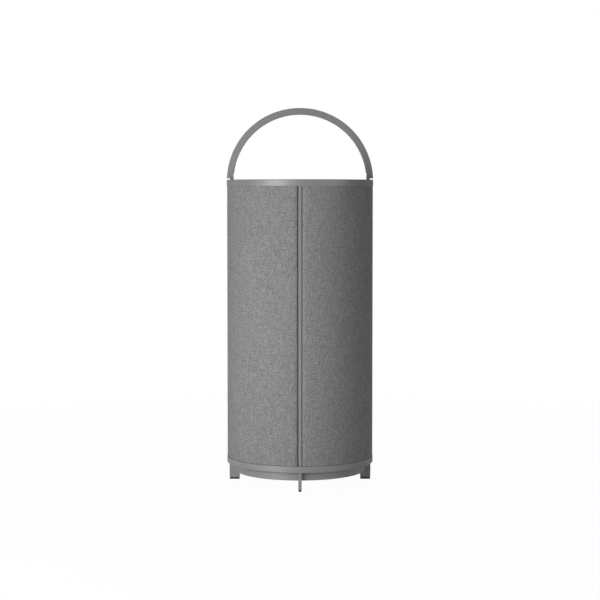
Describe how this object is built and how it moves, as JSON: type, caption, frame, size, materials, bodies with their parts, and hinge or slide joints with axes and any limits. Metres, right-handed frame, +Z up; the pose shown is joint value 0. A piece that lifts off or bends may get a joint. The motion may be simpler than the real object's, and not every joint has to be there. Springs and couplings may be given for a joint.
{
  "type": "smart speaker",
  "caption": "Upright drum speaker in woven fabric panels between metal blades and rings, on plate feet, with a half-round fold-down handle.",
  "frame": {"origin": "on the floor under the centre of the drum", "axes": "+Z up along the drum, front towards -Y, the handle's legs at +X and -X"},
  "size_m": [0.25, 0.25, 0.6367],
  "materials": {
    "satin_metal": "satin grey anodised, very fine grain",
    "button_metal": "satin grey anodised, bevelled rims",
    "black_metal": "matt black powder coat",
    "melange_fabric": "woven grey melange, light and dark threads mixed",
    "black_plastic": "moulded, matt",
    "black_rubber": "matt",
    "green_board": "solder mask",
    "cell_wrap": "shrink wrap",
    "bright_steel": "zinc plated",
    "washer_plastic": "self-lubricating, matt",
    "frosted_light": "frosted",
    "ferrite": "raw ferrite",
    "coated_paper": "coated paper pulp",
    "coil_copper": "enamelled wire",
    "woven_spider": "resin-treated cloth"
  },
  "bodies": {
    "body": {"top_ring": "satin_metal", "base_ring": "satin_metal", "front_blade": "satin_metal", "right_blade": "satin_metal", "back_blade": "satin_metal", "left_blade": "satin_metal", "plinth_drum": "satin_metal", "top_plate": "satin_metal", "control_disc": "satin_metal", "handle_lugs": "satin_metal", "base_plate": "black_metal", "bottom_cover": "black_metal", "top_frame": "black_metal", "heat_sink": "black_metal", "woofer_frame": "black_metal", "driver_frames": "black_metal", "front_right_fabric": "melange_fabric", "back_right_fabric": "melange_fabric", "back_left_fabric": "melange_fabric", "front_left_fabric": "melange_fabric", "panel_carriers": "black_plastic", "bay_wall": "black_plastic", "bass_cabinet": "black_plastic", "bass_port": "black_plastic", "sound_diffuser": "black_plastic", "driver_head": "black_plastic", "head_lid": "black_plastic", "battery_tray": "black_plastic", "board_spacers": "black_plastic", "charging_socket": "black_plastic", "foot_pads": "black_rubber", "top_gasket": "black_rubber", "button_mat": "black_rubber", "woofer_surround": "black_rubber", "driver_surrounds": "black_rubber", "wiring_loom": "black_rubber", "main_board": "green_board", "amplifier_board": "green_board", "control_board": "green_board", "battery_cells": "cell_wrap", "case_screws": "bright_steel", "lug_bolts": "bright_steel", "hinge_pins": "bright_steel", "microphone_meshes": "bright_steel", "friction_washers": "washer_plastic", "light_ring": "frosted_light", "woofer_magnet": "ferrite", "woofer_spider": "woven_spider"},
    "handle": {"handle": "satin_metal"},
    "woofer_piston": {"woofer_cone": "coated_paper", "woofer_coil": "coil_copper"},
    "play_key": {"play_button": "button_metal"},
    "volume_up_key": {"volume_up_button": "button_metal"},
    "volume_down_key": {"volume_down_button": "button_metal"},
    "power_key": {"power_button": "button_metal"},
    "microphone_key": {"microphone_button": "button_metal"},
    "front_right_driver": {"front_right_driver_cone": "coated_paper"},
    "back_right_driver": {"back_right_driver_cone": "coated_paper"},
    "back_left_driver": {"back_left_driver_cone": "coated_paper"},
    "front_left_driver": {"front_left_driver_cone": "coated_paper"}
  },
  "joints": [
    {"name": "handle_fold", "type": "hinge", "parent": "body", "child": "handle", "pos_m": [0, 0, 0.521], "axis": [-1, 0, 0], "range_deg": [0, 90]},
    {"name": "woofer_travel", "type": "slide", "parent": "body", "child": "woofer_piston", "axis": [0, 0, 1], "range_m": [-0.004, 0.004], "stiffness_N_per_m": 3000, "deforming": ["woofer_surround", "woofer_spider"]},
    {"name": "play_press", "type": "slide", "parent": "body", "child": "play_key", "axis": [0, 0, -1], "range_m": [0, 0.0008], "stiffness_N_per_m": 600},
    {"name": "volume_up_press", "type": "slide", "parent": "body", "child": "volume_up_key", "axis": [0, 0, -1], "range_m": [0, 0.0008], "stiffness_N_per_m": 600},
    {"name": "volume_down_press", "type": "slide", "parent": "body", "child": "volume_down_key", "axis": [0, 0, -1], "range_m": [0, 0.0008], "stiffness_N_per_m": 600},
    {"name": "power_press", "type": "slide", "parent": "body", "child": "power_key", "axis": [0, 0, -1], "range_m": [0, 0.0008], "stiffness_N_per_m": 600},
    {"name": "microphone_press", "type": "slide", "parent": "body", "child": "microphone_key", "axis": [0, 0, -1], "range_m": [0, 0.0008], "stiffness_N_per_m": 600},
    {"name": "front_right_driver_travel", "type": "slide", "parent": "body", "child": "front_right_driver", "axis": [0.7071, -0.7071, 0], "range_m": [-0.0015, 0.0015], "stiffness_N_per_m": 2500},
    {"name": "back_right_driver_travel", "type": "slide", "parent": "body", "child": "back_right_driver", "axis": [0.7071, 0.7071, 0], "range_m": [-0.0015, 0.0015], "stiffness_N_per_m": 2500},
    {"name": "back_left_driver_travel", "type": "slide", "parent": "body", "child": "back_left_driver", "axis": [-0.7071, 0.7071, 0], "range_m": [-0.0015, 0.0015], "stiffness_N_per_m": 2500},
    {"name": "front_left_driver_travel", "type": "slide", "parent": "body", "child": "front_left_driver", "axis": [-0.7071, -0.7071, 0], "range_m": [-0.0015, 0.0015], "stiffness_N_per_m": 2500}
  ]
}
